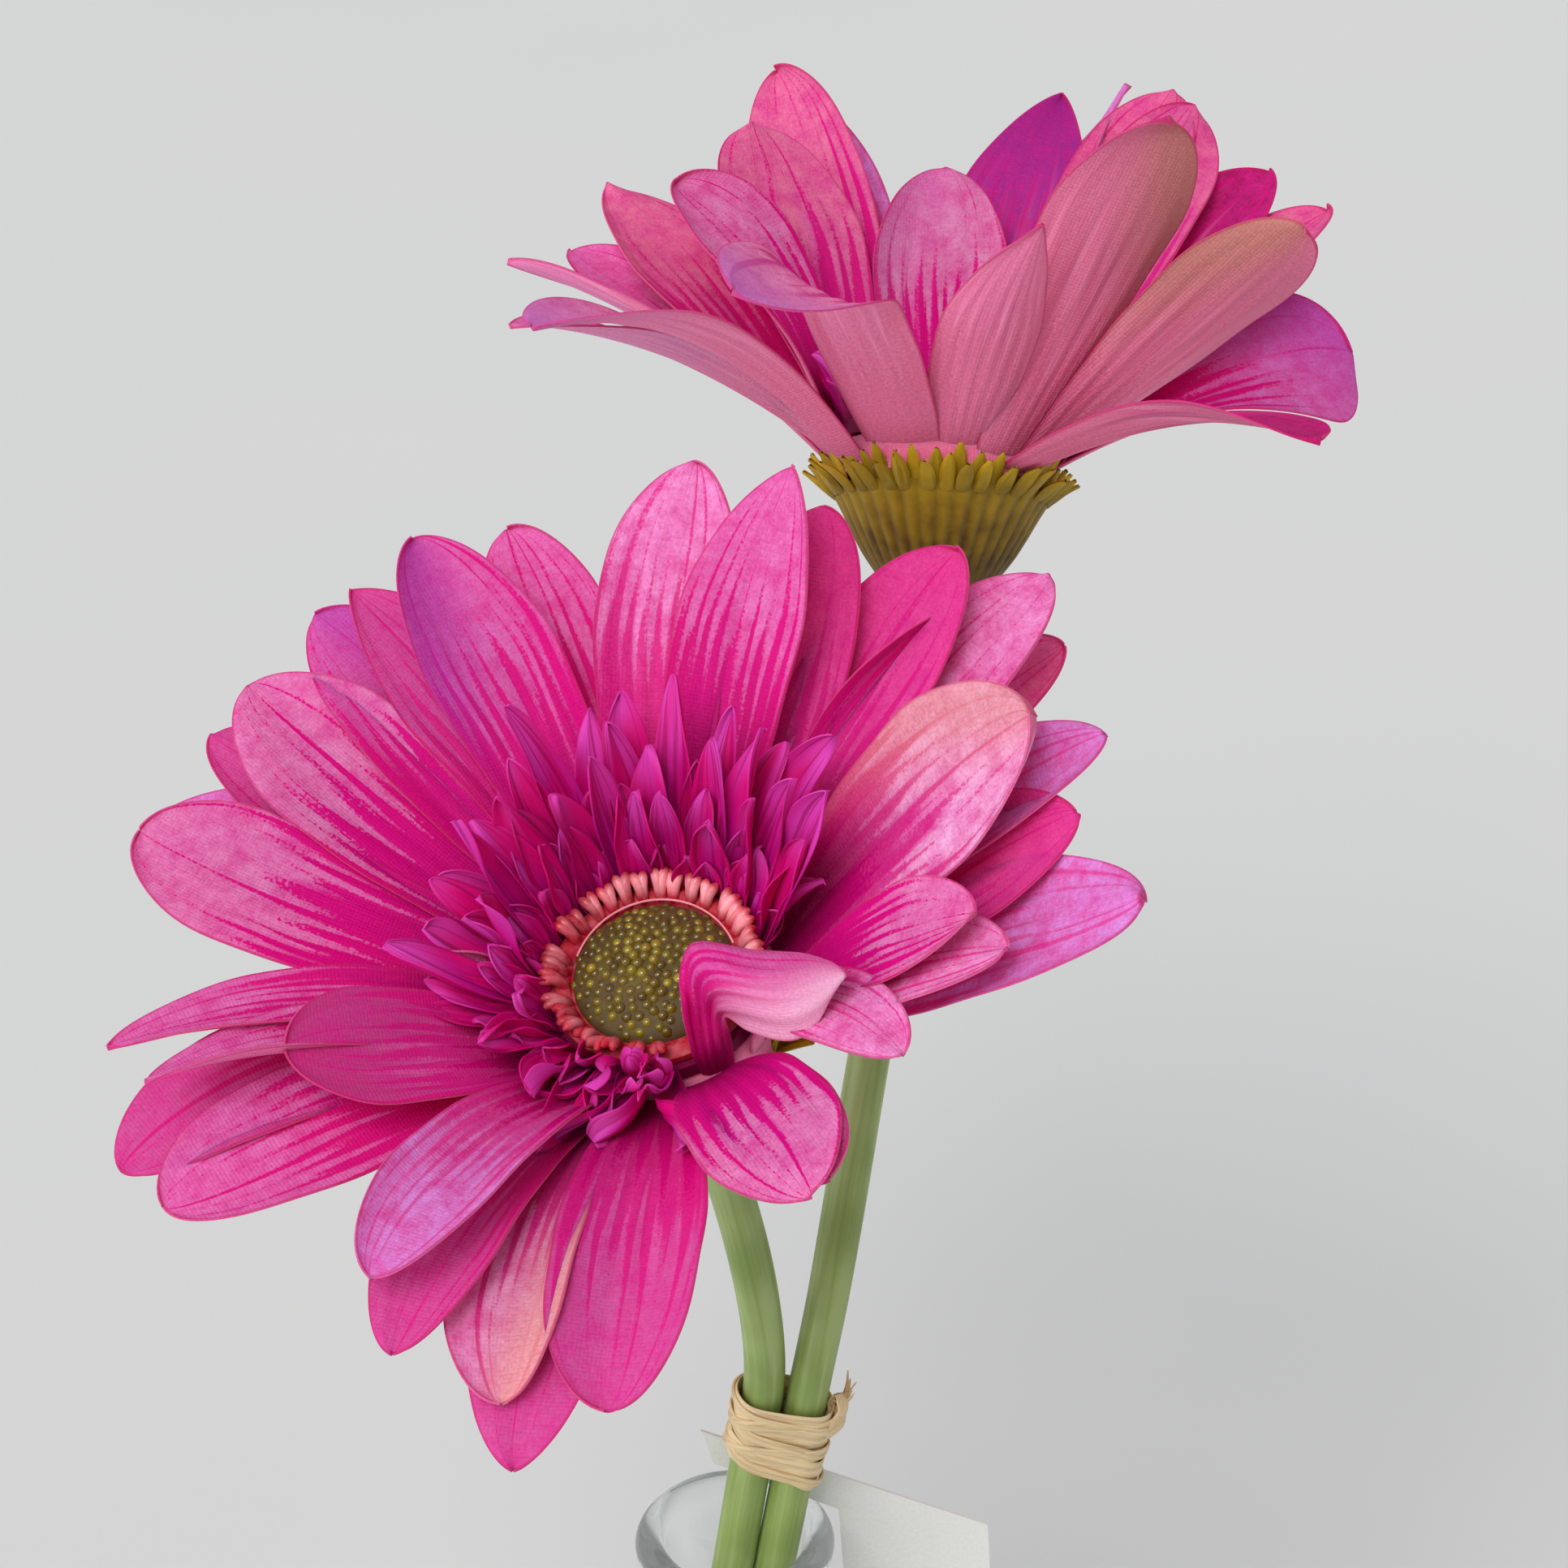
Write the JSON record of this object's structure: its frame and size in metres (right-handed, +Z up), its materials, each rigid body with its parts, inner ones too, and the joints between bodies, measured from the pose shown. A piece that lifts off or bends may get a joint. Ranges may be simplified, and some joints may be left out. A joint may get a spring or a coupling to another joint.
{
  "type": "artificial gerberas in a glass bottle",
  "caption": "Long-stemmed fabric gerberas with layered petals, tied with raffia and tagged, standing in a clear bottle vase.",
  "frame": {"origin": "middle of the bottle's flat underside", "axes": "+Z up along the bottle's axis, -Y towards the front flower and the viewer, +X to the viewer's right"},
  "size_m": [0.1603, 0.2031, 0.3542],
  "materials": {
    "glass": "clear, smooth",
    "stem": "satin green plastic",
    "calyx": "ribbed olive brown plastic",
    "petal": "fine satin weave, streaked magenta to pink",
    "floret": "fine satin weave, purple magenta",
    "ring": "matt coral pink filaments",
    "disc": "glossy olive nubs",
    "raffia": "dry straw-coloured fibre",
    "paper": "plain white card, bare"
  },
  "bodies": {
    "root": {"bottle": "glass", "stem_front": "stem", "stem_back": "stem", "raffia_tie": "raffia", "paper_tag": "paper", "calyx_front": "calyx", "calyx_back": "calyx", "petals_front": "petal", "petals_back": "petal", "florets_front": "floret", "florets_back": "floret", "ring_front": "ring", "ring_back": "ring", "disc_front": "disc", "disc_back": "disc"}
  },
  "joints": []
}
